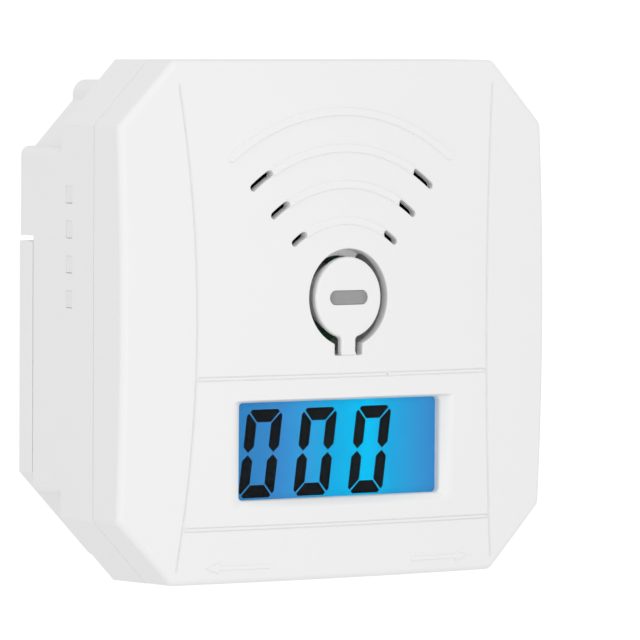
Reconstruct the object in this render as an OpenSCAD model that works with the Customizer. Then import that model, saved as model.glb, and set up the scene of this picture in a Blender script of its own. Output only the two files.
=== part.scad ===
// Wall-mounted gas alarm: a square body with clipped corners that slides onto a wall bracket.
// X runs to the right, Z runs up, the wall is the plane Y = 0 and the front faces -Y.
// The origin lies midway between the two wall screws, on the bracket's wall face.

/* [Body] */
// Width across the flat sides
body_w = 104; // [103:0.5:108]
// Height across the flat top and bottom
body_h = 102.2; // [101:0.1:106]
// Leg of each clipped corner
corner = 12.7; // [11:0.1:14]
// Thickness of the moulded walls
wall = 2; // [1.6:0.1:2.2]
// How far the middle of the front stands off the wall
body_d = 38.87; // [38.5:0.01:40]
// Radius of the front's crown
crown_r = 450; // [430:1:600]
// Distance of the seam between the two covers from the wall
seam_d = 25.3; // [25:0.1:25.6]
// Distance of the eight-sided body's rear edge from the wall
step_d = 14.4; // [14:0.1:15]

/* [Rear housing] */
// Height of the housing above the middle
housing_top = 47; // [46:0.1:48]
// Sum of X and Z along the housing's sloping corners
housing_slope = 82.7; // [82:0.1:83.5]
// Height at which the bracket ends and the housing's full depth begins
ledge_z = 16.5; // [16:0.1:18]
// Gap between the full-depth housing and the wall
back_gap = 0.45; // [0.3:0.05:0.8]
// Distance of the recessed back, which the bracket covers, from the wall
recess_d = 4.8; // [4.7:0.1:5.2]

/* [Test button] */
// Radius of the round button
button_r = 8.03; // [7.5:0.01:8.5]
// Height of the button's middle
button_z = 4.45; // [4:0.05:5]
// Clear gap round the button
button_gap = 1.6; // [1.3:0.1:1.8]
// Width of the tongue that carries the button
tongue_w = 3.6; // [3:0.1:4.5]
// Height of the tongue's bending root
tongue_root_z = -6.9; // [-7.5:0.1:-6.5]
// Length of the indicator lens
lens_w = 9.26; // [8:0.01:9.5]
// Height of the indicator lens
lens_h = 2.8; // [2.4:0.1:3]

/* [Display] */
// Width of the display opening
display_w = 49.3; // [47:0.1:50]
// Height of the display opening
display_h = 19.1; // [18:0.1:19.5]
// Height of the opening's middle
display_z = -25.35; // [-26:0.05:-25]
// Distance of the display window's front from the wall
window_d = 34.6; // [34.4:0.1:34.8]
// Width of the sloping border round the opening
dish_w = 2.3; // [1.5:0.1:2.6]

/* [Sound arcs] */
// Radii of the four raised arcs, from the outer one in
arc_radii = [44.1, 34.8, 27.3, 19.6];
// Heights of the arcs' centres
arc_centres = [-3.07, -0.94, -0.58, 0.03];
// How far the arcs' middle lies to the right of the body's
arc_x = -0.75; // [-0.9:0.05:0]
// Half of the angle that each raised arc spans
arc_spans = [37.2, 29.4, 29.4, 29.4];
// Width of a raised arc
arc_w = 1.55; // [1.3:0.05:1.8]
// How far an arc stands out of the front
arc_lift = 0.35; // [0.2:0.05:0.6]
// Width of the sound slots at the ends of the three inner arcs
slot_w = 1.35; // [1:0.05:1.5]
// Angle at which a sound slot begins
slot_from = 31; // [30.5:0.1:32]
// Angle at which a sound slot ends
slot_to = 38.6; // [36:0.1:40]

/* [Grooves] */
// Half of the distance between the long grooves at mid height
groove_x = 35.6; // [35:0.1:36]
// Radius of the long grooves
groove_r = 369; // [340:1:400]
// Heights of the two cross grooves
cross_z = [-10.85, -40.2];
// Width of the grooves
groove_w = 0.5; // [0.4:0.05:0.7]
// Depth of the grooves
groove_d = 0.35; // [0.2:0.05:0.5]

/* [Arrows] */
// Distance of an arrow's tip from the middle
arrow_tip = 32.2; // [30:0.1:34]
// Height of the arrows
arrow_z = -47.9; // [-48.2:0.1:-46]
// Length of an arrow
arrow_l = 14.8; // [10:0.1:18]
// Length of an arrow's head
arrow_head_l = 3; // [2:0.1:4]
// Height of an arrow's head
arrow_h = 2.1; // [1.6:0.1:2.4]
// Height of an arrow's shaft
arrow_shaft = 0.8; // [0.5:0.1:1.2]
// How far an arrow stands out of the front
arrow_lift = 0.2; // [0.1:0.05:0.4]

/* [Wall bracket] */
// Distance between the two wall screws
screw_span = 76; // [74:1:78]
// Radius of the wall screw holes
screw_hole_r = 2.25; // [2:0.05:2.5]
// Thickness of the bracket's plate
plate_t = 2; // [1.8:0.1:2.2]
// Depth of the bracket's rim
rim_d = 4.5; // [4.4:0.1:4.5]
// Height of the bracket's upper edge
bracket_top = 15.4; // [14.5:0.1:15.5]
// Height of the bracket's lower edge
bracket_foot = -46.6; // [-46.8:0.1:-46]
// How far the body slides sideways off the bracket's hooks
slide_travel = 11; // [10.5:0.1:11]

/* [Batteries] */
// Radius of a cell
cell_r = 7.25; // [7:0.05:7.25]
// Length of a cell with its nub
cell_l = 50.5; // [50:0.1:50.5]
// Distance between neighbouring cells
cell_pitch = 15.2; // [15:0.1:15.2]
// Height of the uppermost cell
cell_top_z = -6.6; // [-6.7:0.05:-6.5]

/* [Electronics] */
// Width of the circuit board
board_w = 71; // [68:1:71]
// Thickness of the circuit board
board_t = 1.6; // [1.2:0.2:1.6]
// Distance of the board's front from the wall
board_d = 25.2; // [25.1:0.1:25.3]
// Radius of the gas sensor's can
sensor_r = 9.5; // [8.5:0.1:10]
// Radius of the sounder's case
sounder_r = 12; // [11:0.1:12.5]
// Height of the sounder's middle
sounder_z = 30; // [29.5:0.1:30.5]

/* [Hidden] */
$fn = 64;

cut = 1;                          // how far a cutting shape runs past the surface it cuts
skin = 0.01;                      // thickness of a drawn face that a hull joins to another
play = 0.05;                      // gap between pieces that are fixed together
gap = 0.3;                        // gap between pieces that move past each other
front_y = -body_d;
seam_y = -seam_d;
step_y = -step_d;
recess_y = -recess_d;
board_y = -board_d;
board_back = board_y + board_t;
window_y = -window_d;
half_w = body_w / 2;
half_h = body_h / 2;

slope_run = sqrt(2);              // length along X + Z that one millimetre of inset takes off
housing_side_z = 34;              // where the housing's flush side ends
housing_step_x = 43;              // height at which the sloping corner turns upright
housing_step_z = 44;              // middle of the rounding under the housing's top
housing_side_r = 1.8;
housing_top_r = 3;
front_reach = 8;                  // the front's skin lies within this depth of its middle
crown_reach = 12;                 // the whole crown lies within this depth of its middle
inner_reach = 20;                 // enough to run from the inside of the shell into its front
lip_t = 1.2;
lip_h = 1.6;
lip_root = 2;                     // width of the lip's root below the seam
lip_lap = 0.1;                    // how far the lip sinks into the wall that carries it

shell_bosses = [[-40, 28], [40, 28], [-41, -31], [41, -31]];
boss_r = 3.2;
tube_r = 4.2;
head_well_r = 3;
shelf_y = seam_y + 2.4;           // front of the ledge under each shell screw's head
shelf_t = 2;
shell_shank_r = 1.25;
shell_screw_l = 11;
shell_head_r = 2.6;
shell_head_h = 1.8;

board_h = 84;
board_mid_z = 2;
board_posts = [[-31, 38], [31, 38], [-31, -7.6], [31, -7.6]];
post_r = 2.6;
board_shank_r = 1;
board_screw_l = 6;
board_head_r = 2;
board_head_h = 1.3;
thread_gap = 0.05;
pilot_l = 10;                     // depth of the pilot holes in the bosses
post_pilot_l = 7;                 // depth of the pilot holes in the posts
screw_slot = 0.3;                 // width of a screw's cross, as a share of its head's radius
seat_gap = 0.02;                  // gap under a screw's head
clear_hole = 0.35;                // room round a screw's shank in a through hole

vent_z = [24.8, 18, 11.2, 4.4];   // heights of the side vents' middles
vent_h = 3.4;
vent_w = 2.2;
vent_y = -17;

// Hooks: [x, z] of each hook with the body slid home
hooks = [[-44, 9], [30, 9], [-47, -16], [36, -16]];
hook_l = 4;
hook_stem = 3;
hook_head = 7;
hook_head_t = 1.9;
hook_room = 0.4;                  // room above and below a hook in its window
port_l = 5;
screw_boss_h = 1.2;               // how far the raised ring round a wall screw hole stands out
rim_t = 1.8;

bay_half = 28.1;                  // half of the battery bay's clear length
bay_wall = 1.6;
bay_room = 0.65;                  // room above and below the cells
cell_room = 0.5;                  // room behind and before the cells
bay_top = cell_top_z + cell_r + bay_room;
bay_foot = cell_top_z - 2 * cell_pitch - cell_r - bay_room;
bay_floor_y = recess_y - 2 * cell_r - 2 * cell_room;
bay_floor_t = 1.5;
cell_y = recess_y - cell_room - cell_r;
contact_t = 0.5;
contact_w = 9;
nub_r = 2.75;
nub_l = 1.5;
tab_w = 2;
tab_room = 0.2;                   // room beside a terminal's tab in its slot
spring_turns = 2.5;
spring_steps = 36;
spring_sides = 6;
spring_wire = 0.4;
spring_big = 4.4;
spring_small = 2.4;
spring_l = 2 * bay_half - 2 * contact_t - 2 * play - cell_l;

display_rim = 3;                  // thickness of the pad round the display opening
display_corner = 0.8;
dish_foot = 1.4;                  // how far the border's inner edge lies before the window
dish_run = 4;                     // depth over which the border's slope is drawn
dish_corner = 3;
window_t = 0.8;
window_lap = 1.6;
window_corner = 0.5;
panel_t = 2.2;
panel_back = window_y + window_t + play + panel_t;
guide_t = 3.2;
guide_inset = 0.3;
frame_wall = 2.1;
frame_front = window_y + 0.4;     // leaves the front cover's inside clear at the lower corners
strip_t = 1.1;
strip_half = 22;
web_half = 6;                     // half of the width of the web between the frame and the shroud
web_inset = 2.5;
shroud_r = 11.8;
shroud_in = 10.6;
shroud_front = front_y + 3.4;

switch_z = 9.4;
switch_s = 6;
switch_h = 2.2;
switch_rim = 0.4;                 // how far the switch's case stands round its plunger
plunger_r = 1.6;
plunger_h = 1.3;
plunger_sink = 0.8;
switch_front = board_y - switch_h - plunger_h;
post_front = front_y + 1;         // the button's post ends inside its skin
button_post_r = 1.5;
skirt_t = 1.2;
skirt_l = 4.2;
hinge_gap = 0.12;                 // gap across the tongue's root
lens_front = 0.15;                // how far the lens lies below the button's face
lens_back = front_y + 6;
led_x = [-3, 0, 3];
led_r = 1.1;
led_h = 3.2;

sensor_x = -16;
sensor_z = 31;
sensor_h = 16;
sensor_lift = 1;                  // length of the pins between the board and the can
sensor_back = board_back + sensor_lift + sensor_h;
cap_r = 6.5;
cap_h = 2.5;
cap_hole_r = 0.6;
cap_hole_ring = 3;
pin_r = 0.75;
pin_ring = 6;
gasket_t = 2;
sounder_front = front_y + 4.3;
sounder_wall = 1;
sounder_hole_r = 2;
disc_t = 0.3;
disc_y = board_y - 3.5;
piezo_inset = 3.5;

chip_x = 0;                       // left edge and foot of the microcontroller
chip_z = 17.5;
chip_s = 9;
chip_t = 1.4;
capacitors = [[6, 37], [16, 36]];
capacitor_r = 4;
capacitor_h = 10;
capacitor_rim = 0.8;
inductor_x = 26;
inductor_z = 24;
flange_r = 4.2;
flange_t = 0.8;
winding_r = 3.2;
winding_l = 3;
crystal_x = 15;
crystal_z = 14;
crystal_w = 10.4;
crystal_h = 4;
crystal_t = 3.4;
part_x = -30;                     // left edge and foot of the small chip parts
part_z = 8;
part_pitch = 3.4;
part_row = 4;
part_size = [1.6, 0.6, 0.9];

screen_t = 0.3;
screen_w = 5;
screen_gap = 0.2;

// ---- shared shapes ----

// Stands a flat outline, drawn in X and Z, forward from its back plane
module slab(back, thick) {
  translate([0, back, 0])
    rotate([90, 0, 0])
      linear_extrude(thick)
        children();
}

// A round bar along Y that starts at back and runs forward
module bar(x, z, back, length, r) {
  translate([x, back, z])
    rotate([90, 0, 0])
      cylinder(h = length, r = r);
}

// A box between two corners
module block(low, high) {
  translate(low)
    cube(high - low);
}

// A rectangle about a middle point, with rounded corners
module soft_rect(x, z, w, h, r) {
  translate([x, z]) {
    square([w - 2 * r, h], center = true);
    square([w, h - 2 * r], center = true);
    for (sx = [-1, 1], sz = [-1, 1])
      translate([sx * (w / 2 - r), sz * (h / 2 - r)])
        circle(r = r);
  }
}

// The body's eight-sided outline, drawn in by inset
module octagon(inset) {
  x = half_w - inset;
  z = half_h - inset;
  c = corner - inset * (2 - slope_run);
  polygon([[x, c - z], [x, z - c], [x - c, z], [c - x, z],
           [-x, z - c], [-x, c - z], [c - x, -z], [x - c, -z]]);
}

// Points of an arc about (cx, cz)
function arc_points(cx, cz, r, from, to, steps) =
  [for (i = [0:steps]) let (a = from + (to - from) * i / steps) [cx + r * cos(a), cz + r * sin(a)]];

// One quarter of the housing's outline, right of the middle and above it
function housing_quarter(inset) =
  let (s = housing_slope - inset * slope_run,
       top = housing_top - inset,
       side = half_w - inset,
       side_top = housing_side_z - inset)
  inset > 0
    ? [[side, 0], [side, s - side], [s - top, top], [0, top]]
    : concat([[side, 0]],
             arc_points(side - housing_side_r, side_top - housing_side_r, housing_side_r, 0, 90, 6),
             [[s - side_top, side_top], [s - housing_step_x, housing_step_x]],
             arc_points(s - housing_step_x - housing_top_r, housing_step_z, housing_top_r, 4, 90, 8),
             [[0, top]]);

// Half of the housing's outline, right of the middle
function housing_half(inset) =
  let (q = housing_quarter(inset), n = len(q))
  concat([for (i = [n - 1:-1:1]) [q[i][0], -q[i][1]]], q);

// The rear housing's outline, drawn in by inset
module housing(inset) {
  polygon(housing_half(inset));
  mirror([1, 0])
    polygon(housing_half(inset));
}

// Everything behind the crowned front, with the crown moved forward by lift
module crown(lift) {
  translate([0, front_y + crown_r, 0])
    sphere(r = crown_r + lift, $fn = 360);
}

// An outline raised out of the crown by lift and sunk into it by sink
module on_crown(lift, sink) {
  difference() {
    intersection() {
      slab(front_y + crown_reach, crown_reach + 4 * cut)
        children();
      crown(lift);
    }
    crown(-sink);
  }
}

// A band of a circle about (0, cz), between two angles measured from straight up, with round ends
module arc_band(r, cz, w, from, to, steps) {
  start = [r * sin(from), cz + r * cos(from)];
  end = [r * sin(to), cz + r * cos(to)];
  polygon(concat(arc_points(0, cz, r + w / 2, 90 - to, 90 - from, steps),
                 arc_points(start[0], start[1], w / 2, 90 - from, 270 - from, 6),
                 arc_points(0, cz, r - w / 2, 90 - from, 90 - to, steps),
                 arc_points(end[0], end[1], w / 2, -90 - to, 90 - to, 6)));
}

// The outline of the test button and its tongue, grown by more
module button_outline(more) {
  translate([0, button_z])
    circle(r = button_r + more);
  translate([-tongue_w / 2 - more, tongue_root_z])
    square([tongue_w + 2 * more, button_z - tongue_root_z]);
}

// The indicator lens's outline, drawn in by inset
module lens_outline(inset) {
  r = lens_h / 2 - inset;
  span = lens_w / 2 - lens_h / 2;
  translate([0, button_z]) {
    square([2 * span, 2 * r], center = true);
    for (s = [-1, 1])
      translate([s * span, 0])
        circle(r = r);
  }
}

// A cross-headed screw along Y, with its head's underside at seat
module screw(x, z, seat, head_r, head_h, shank_r, length) {
  slot = head_r * screw_slot;
  difference() {
    bar(x, z, seat + head_h, head_h, head_r);
    for (size = [[head_r, slot], [slot, head_r]])
      translate([x - size[0] / 2, seat + head_h / 2, z - size[1] / 2])
        cube([size[0], head_h, size[1]]);
  }
  bar(x, z, seat, length, shank_r);
}

// ---- covers ----

// The pattern pressed into the front: two long curved grooves and two cross grooves
module groove_outlines() {
  for (side = [-1, 1])
    translate([side * (groove_x + groove_r), 0])
      difference() {
        circle(r = groove_r + groove_w / 2, $fn = 720);
        circle(r = groove_r - groove_w / 2, $fn = 720);
      }
  for (z = cross_z)
    translate([-groove_x, z - groove_w / 2])
      square([2 * groove_x, groove_w]);
}

// An arrow that points right, with its tip at the middle point
module arrow_outline() {
  tail = -arrow_l;
  neck = -arrow_head_l;
  polygon([[0, 0], [neck, arrow_h / 2], [neck, arrow_shaft / 2], [tail, arrow_shaft / 2],
           [tail, -arrow_shaft / 2], [neck, -arrow_shaft / 2], [neck, -arrow_h / 2]]);
}

module front_cover() {
  color("whitesmoke")
    difference() {
      union() {
        // shell with an open back
        difference() {
          intersection() {
            slab(seam_y, body_d)
              octagon(0);
            crown(0);
          }
          intersection() {
            slab(seam_y + cut, body_d)
              octagon(wall);
            crown(-wall);
          }
        }
        // raised arcs
        for (i = [0:3])
          on_crown(arc_lift, wall / 2)
            translate([arc_x, 0])
              arc_band(arc_radii[i], arc_centres[i], arc_w, -arc_spans[i], arc_spans[i], 16);
        // raised arrows
        on_crown(arrow_lift, wall / 2)
          for (side = [0, 1])
            mirror([side, 0])
              translate([arrow_tip, arrow_z])
                arrow_outline();
        // pad round the display opening, bosses for the shell screws, posts for the board
        intersection() {
          crown(-wall / 2);
          union() {
            slab(window_y - play, front_reach)
              soft_rect(0, display_z, display_w + 2 * display_rim, display_h + 2 * display_rim,
                        display_corner);
            for (b = shell_bosses)
              bar(b[0], b[1], shelf_y - play, inner_reach, boss_r);
            for (p = board_posts)
              bar(p[0], p[1], board_y - play, inner_reach, post_r);
          }
        }
      }
      // sound slots
      for (i = [1:3], side = [0, 1])
        slab(front_y + front_reach, front_reach + 2 * cut)
          translate([arc_x, 0])
            mirror([side, 0])
              arc_band(arc_radii[i], arc_centres[i], slot_w, slot_from, slot_to, 4);
      // display opening and its sloping border
      slab(window_y + cut, front_reach)
        soft_rect(0, display_z, display_w, display_h, display_corner);
      hull() {
        slab(window_y - dish_foot, skin)
          soft_rect(0, display_z, display_w, display_h, display_corner, $fn = 32);
        slab(window_y - dish_foot - dish_run, skin)
          soft_rect(0, display_z, display_w + 4 * dish_w, display_h + 4 * dish_w, dish_corner, $fn = 32);
      }
      // opening for the test button and its tongue
      slab(front_y + front_reach, front_reach + 2 * cut)
        button_outline(button_gap);
      // grooves
      on_crown(cut, groove_d)
        groove_outlines();
      // pilot holes
      for (b = shell_bosses)
        bar(b[0], b[1], shelf_y + cut, cut + pilot_l, shell_shank_r + thread_gap);
      for (p = board_posts)
        bar(p[0], p[1], board_y + cut, cut + post_pilot_l, board_shank_r + thread_gap);
    }
}

module rear_cover() {
  back_upper = -back_gap;
  window_back = recess_y - wall - 2 * cut;
  tabs = [[-bay_half + contact_t / 2, cell_top_z], [bay_half - contact_t / 2, cell_top_z - 2 * cell_pitch]];
  color("white")
    difference() {
      union() {
        difference() {
          union() {
            // eight-sided part, recessed back and full-depth upper housing
            slab(step_y, seam_d - step_d)
              octagon(0);
            slab(recess_y, step_d - recess_d + play)
              housing(0);
            intersection() {
              slab(back_upper, step_d - back_gap + play)
                housing(0);
              block([-body_w, -step_d - cut, ledge_z], [body_w, cut, body_h]);
            }
          }
          // hollow
          slab(step_y - wall, body_d)
            octagon(wall);
          slab(recess_y - wall, body_d)
            housing(wall);
          intersection() {
            slab(back_upper - wall, body_d)
              housing(wall);
            block([-body_w, -body_d, ledge_z + wall], [body_w, cut, body_h]);
          }
        }
        // lip that centres the front cover
        difference() {
          slab(seam_y + lip_root, lip_root)
            octagon(wall - play);
          slab(seam_y + lip_root + cut, lip_root + 2 * cut)
            octagon(wall + lip_t + lip_lap);
        }
        difference() {
          slab(seam_y + play, lip_h)
            octagon(wall + lip_lap);
          slab(seam_y + cut, lip_h + 2 * cut)
            octagon(wall + lip_t + lip_lap);
        }
        // battery bay
        block([-bay_half - bay_wall, bay_floor_y - bay_floor_t, bay_foot - bay_wall],
              [bay_half + bay_wall, recess_y, bay_top + bay_wall]);
        // tubes over the shell screws
        for (b = shell_bosses)
          let (back = (b[1] > 0 ? back_upper : recess_y) - wall / 2)
            bar(b[0], b[1], back, back - shelf_y, tube_r);
      }
      // room for the cells
      block([-bay_half, bay_floor_y, bay_foot], [bay_half, cut, bay_top]);
      // slots for the terminal tabs
      for (t = tabs)
        block([t[0] - contact_t, bay_floor_y - bay_floor_t - cut, t[1] - tab_w / 2 - tab_room],
              [t[0] + contact_t, bay_floor_y + cut, t[1] + tab_w / 2 + tab_room]);
      // wells and holes for the shell screws
      for (b = shell_bosses) {
        bar(b[0], b[1], cut, cut - shelf_y - shelf_t, head_well_r);
        bar(b[0], b[1], 0, body_d, shell_shank_r + clear_hole);
      }
      // keyhole windows for the bracket's hooks
      for (h = hooks) {
        block([h[0] - hook_l / 2 - 2 * gap, window_back, h[1] - hook_stem / 2 - hook_room],
              [h[0] + slide_travel + hook_l / 2 + gap, cut, h[1] + hook_stem / 2 + hook_room]);
        block([h[0] + slide_travel - port_l / 2, window_back, h[1] - hook_head / 2 - hook_room],
              [h[0] + slide_travel + port_l / 2, cut, h[1] + hook_head / 2 + hook_room]);
      }
      // side vents
      for (z = vent_z, side = [-1, 1])
        block([side * half_w - wall - cut, vent_y - vent_w / 2, z - vent_h / 2],
              [side * half_w + wall + cut, vent_y + vent_w / 2, z + vent_h / 2]);
    }
}

// ---- wall bracket ----

// The bracket's outline, drawn in by inset
module bracket_outline(inset) {
  x = half_w - inset;
  s = housing_slope - 2 * gap - inset * slope_run;
  top = bracket_top - inset;
  foot = bracket_foot + inset;
  polygon([[-x, top], [x, top], [x, x - s], [s + foot, foot], [-s - foot, foot], [-x, x - s]]);
}

module wall_bracket() {
  head_y = recess_y - wall - gap;
  color("white")
    difference() {
      union() {
        slab(0, plate_t)
          bracket_outline(0);
        difference() {
          slab(0, rim_d)
            bracket_outline(0);
          slab(cut, rim_d + 2 * cut)
            bracket_outline(rim_t);
        }
        for (s = [-1, 1])
          bar(s * screw_span / 2, 0, 0, plate_t + screw_boss_h, 2 * screw_hole_r);
        for (h = hooks) {
          block([h[0] - hook_l / 2, head_y - hook_head_t, h[1] - hook_stem / 2],
                [h[0] + hook_l / 2, -plate_t / 2, h[1] + hook_stem / 2]);
          block([h[0] - hook_l / 2, head_y - hook_head_t, h[1] - hook_head / 2],
                [h[0] + hook_l / 2, head_y, h[1] + hook_head / 2]);
        }
      }
      for (s = [-1, 1])
        bar(s * screw_span / 2, 0, cut, plate_t + screw_boss_h + 2 * cut, screw_hole_r);
    }
}

// ---- button and lens ----

module test_button() {
  color("whitesmoke")
    difference() {
      union() {
        on_crown(0, wall)
          difference() {
            button_outline(0);
            translate([-tongue_w, tongue_root_z - cut])
              square([2 * tongue_w, cut + hinge_gap]);
          }
        // skirt
        intersection() {
          difference() {
            bar(0, button_z, front_y + skirt_l, front_reach, button_r);
            bar(0, button_z, front_y + skirt_l + cut, front_reach + 2 * cut, button_r - skirt_t);
          }
          crown(-wall / 2);
        }
        // post that reaches the switch
        bar(0, switch_z, switch_front - play, switch_front - play - post_front, button_post_r);
      }
      slab(front_y + front_reach, front_reach + 2 * cut)
        lens_outline(0);
    }
}

module indicator_lens() {
  color("darkgray")
    intersection() {
      slab(lens_back, front_reach)
        lens_outline(play);
      crown(-lens_front);
    }
}

// ---- display ----

module lcd_window() {
  color("lightcyan", 0.4)
    slab(window_y + window_t, window_t)
      soft_rect(0, display_z, display_w + 2 * window_lap, display_h + 2 * window_lap, window_corner);
}

module lcd_panel() {
  color("deepskyblue")
    slab(panel_back, panel_t)
      soft_rect(0, display_z, display_w + 2 * window_lap, display_h + 2 * window_lap, window_corner);
}

module lcd_light_guide() {
  color("aliceblue")
    slab(panel_back + play + guide_t, guide_t)
      soft_rect(0, display_z, display_w, display_h - 2 * guide_inset, guide_inset);
}

// White frame that holds the display and shades the lamps behind the button
module inner_frame() {
  pocket_w = display_w + 2 * window_lap + 2 * play;
  pocket_h = display_h + 2 * window_lap + 2 * play;
  top = display_z + pocket_h / 2;
  color("ghostwhite")
    difference() {
      union() {
        slab(board_y - play, board_y - play - frame_front)
          soft_rect(0, display_z, pocket_w + 2 * frame_wall, pocket_h + 2 * frame_wall, display_corner);
        bar(0, button_z, board_y - play, board_y - play - shroud_front, shroud_r);
        block([-web_half, window_y + web_inset, top],
              [web_half, board_y - play, button_z - shroud_in - play]);
      }
      slab(board_y + cut, inner_reach)
        soft_rect(0, display_z, pocket_w, pocket_h, window_corner);
      bar(0, button_z, board_y + cut, inner_reach, shroud_in);
    }
}

// Two elastic strips that join the display's glass to the board
module contact_strips() {
  offset_z = display_h / 2 + window_lap - strip_t / 2 - gap;
  color("dimgray")
    for (s = [-1, 1])
      block([-strip_half, panel_back + play, display_z + s * offset_z - strip_t / 2],
            [strip_half, board_y - play, display_z + s * offset_z + strip_t / 2]);
}

// ---- circuit board ----

module main_board() {
  color("darkgreen")
    difference() {
      slab(board_back, board_t)
        translate([0, board_mid_z])
          square([board_w, board_h], center = true);
      for (p = board_posts)
        bar(p[0], p[1], board_back + cut, board_t + 2 * cut, board_shank_r + gap);
    }
}

module switch_base() {
  color("dimgray")
    difference() {
      block([-switch_s / 2, board_y - switch_h - switch_rim, switch_z - switch_s / 2],
            [switch_s / 2, board_y, switch_z + switch_s / 2]);
      bar(0, switch_z, board_y - plunger_sink / 2, switch_s, plunger_r + 2 * play);
    }
}

module switch_plunger() {
  color("black")
    bar(0, switch_z, switch_front + plunger_h + plunger_sink, plunger_h + plunger_sink, plunger_r);
}

// A small lamp on the board, with a domed top
module led(x, tint) {
  color(tint) {
    bar(x, button_z, board_y, led_h - led_r, led_r);
    intersection() {
      translate([x, board_y - led_h + led_r, button_z])
        sphere(r = led_r, $fn = 32);
      bar(x, button_z, board_y - led_h + led_r, led_r, led_r + cut);
    }
  }
}

// ---- gas sensor ----

module co_sensor() {
  color("silver")
    difference() {
      bar(sensor_x, sensor_z, sensor_back, sensor_h, sensor_r);
      bar(sensor_x, sensor_z, sensor_back + cut, 2 * cut, cap_r - gasket_t);
    }
}

module sensor_cap() {
  back = sensor_back + cap_h;
  color("white")
    difference() {
      bar(sensor_x, sensor_z, back, cap_h, cap_r);
      for (a = [0:60:300])
        bar(sensor_x + cap_hole_ring * cos(a), sensor_z + cap_hole_ring * sin(a), back + cut,
            cap_h + 2 * cut, cap_hole_r);
      bar(sensor_x, sensor_z, back + cut, cap_h + 2 * cut, cap_hole_r);
    }
}

module sensor_pins() {
  color("gold")
    for (a = [90, 210, 330])
      bar(sensor_x + pin_ring * cos(a), sensor_z + pin_ring * sin(a), board_back + sensor_lift,
          sensor_lift, pin_r);
}

module sensor_gasket() {
  front = sensor_back + cap_h;
  back = -back_gap - wall;
  color("darkslategray")
    difference() {
      bar(sensor_x, sensor_z, back, back - front, cap_r);
      bar(sensor_x, sensor_z, back + cut, back - front + 2 * cut, cap_r - gasket_t);
    }
}

// ---- sounder ----

module sounder_case() {
  h = -board_d - play - sounder_front;
  color("black")
    difference() {
      bar(0, sounder_z, board_y - play, h, sounder_r);
      bar(0, sounder_z, board_y + cut, h + cut - sounder_wall, sounder_r - sounder_wall);
      bar(0, sounder_z, board_y, h + cut, sounder_hole_r);
    }
}

module sounder_disc() {
  color("goldenrod")
    bar(0, sounder_z, disc_y, disc_t, sounder_r - sounder_wall - play);
}

module piezo_element() {
  color("lightgray")
    bar(0, sounder_z, disc_y + disc_t, disc_t, sounder_r - sounder_wall - piezo_inset);
}

// ---- small parts on the back of the board ----

module microcontroller() {
  color("black")
    block([chip_x, board_back, chip_z], [chip_x + chip_s, board_back + chip_t, chip_z + chip_s]);
}

module capacitor(place) {
  color("navy")
    difference() {
      bar(place[0], place[1], board_back + capacitor_h, capacitor_h, capacitor_r);
      bar(place[0], place[1], board_back + capacitor_h + cut, cut + gap, capacitor_r - capacitor_rim);
    }
}

module inductor() {
  far = flange_t + winding_l;
  color("dimgray") {
    bar(inductor_x, inductor_z, board_back + flange_t, flange_t, flange_r);
    bar(inductor_x, inductor_z, board_back + far, winding_l, winding_r);
    bar(inductor_x, inductor_z, board_back + far + flange_t, flange_t, flange_r);
  }
}

module crystal() {
  color("silver")
    slab(board_back + crystal_t, crystal_t)
      soft_rect(crystal_x, crystal_z, crystal_w, crystal_h, crystal_h / 2 - play);
}

module chip_parts() {
  color("tan")
    for (i = [0:5], row = [0:1])
      translate([part_x + part_pitch * i, board_back, part_z + part_row * row])
        cube(part_size);
}

// ---- batteries and their contacts ----

// Number of a cell from the top, and the side that its nub points to
function cell_z(n) = cell_top_z - (n - 1) * cell_pitch;
function cell_side(n) = n % 2 == 1 ? 1 : -1;

module battery_cell(n) {
  side = cell_side(n);
  tip = side * (bay_half - contact_t - play);
  color(n % 2 == 1 ? "slategray" : "lightslategray")
    translate([tip, cell_y, cell_z(n)])
      rotate([0, -90 * side, 0]) {
        cylinder(h = nub_l + play, r = nub_r);
        translate([0, 0, nub_l])
          cylinder(h = cell_l - nub_l, r = cell_r);
      }
}

// Ring of points round a conical coil spring's wire, t runs from 0 at the plate to 1 at the cell
function spring_ring(t) =
  let (a = 360 * spring_turns * t,
       r = spring_big + (spring_small - spring_big) * t,
       x = spring_wire + play + (spring_l - 2 * spring_wire - 2 * play) * t)
  [for (j = [0:spring_sides - 1])
    let (b = 360 * j / spring_sides, q = r + spring_wire * cos(b))
    [x + spring_wire * sin(b), q * cos(a), q * sin(a)]];

module coil_spring() {
  n = spring_sides;
  last = spring_steps * n;
  points = [for (i = [0:spring_steps]) each spring_ring(i / spring_steps)];
  walls = [for (i = [0:spring_steps - 1], j = [0:n - 1])
             [i * n + j, i * n + (j + 1) % n, (i + 1) * n + (j + 1) % n, (i + 1) * n + j]];
  caps = [[for (j = [n - 1:-1:0]) j], [for (j = [0:n - 1]) last + j]];
  polyhedron(points = points, faces = concat(walls, caps), convexity = 8);
}

module contact_springs() {
  color("silver")
    for (n = [1:3])
      translate([-cell_side(n) * (bay_half - contact_t), cell_y, cell_z(n)])
        rotate([0, 0, cell_side(n) > 0 ? 0 : 180])
          coil_spring();
}

// A contact plate on one end wall of the bay, between two heights
module contact_plate(side, low, high) {
  x = side * (bay_half - contact_t / 2 - skin);
  color("silver")
    block([x - contact_t / 2 + skin, cell_y - contact_w / 2, low - contact_w / 2],
          [x + contact_t / 2 - skin, cell_y + contact_w / 2, high + contact_w / 2]);
}

// The tab that carries a terminal through the bay's floor to the board
module terminal_tab(side, z) {
  x = side * (bay_half - contact_t / 2 - skin);
  color("silver")
    block([x - contact_t / 2 + skin, board_back + play, z - tab_w / 2],
          [x + contact_t / 2 - skin, cell_y, z + tab_w / 2]);
}

module negative_terminal() {
  contact_plate(-1, cell_z(1), cell_z(1));
  terminal_tab(-1, cell_z(1));
}

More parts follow.
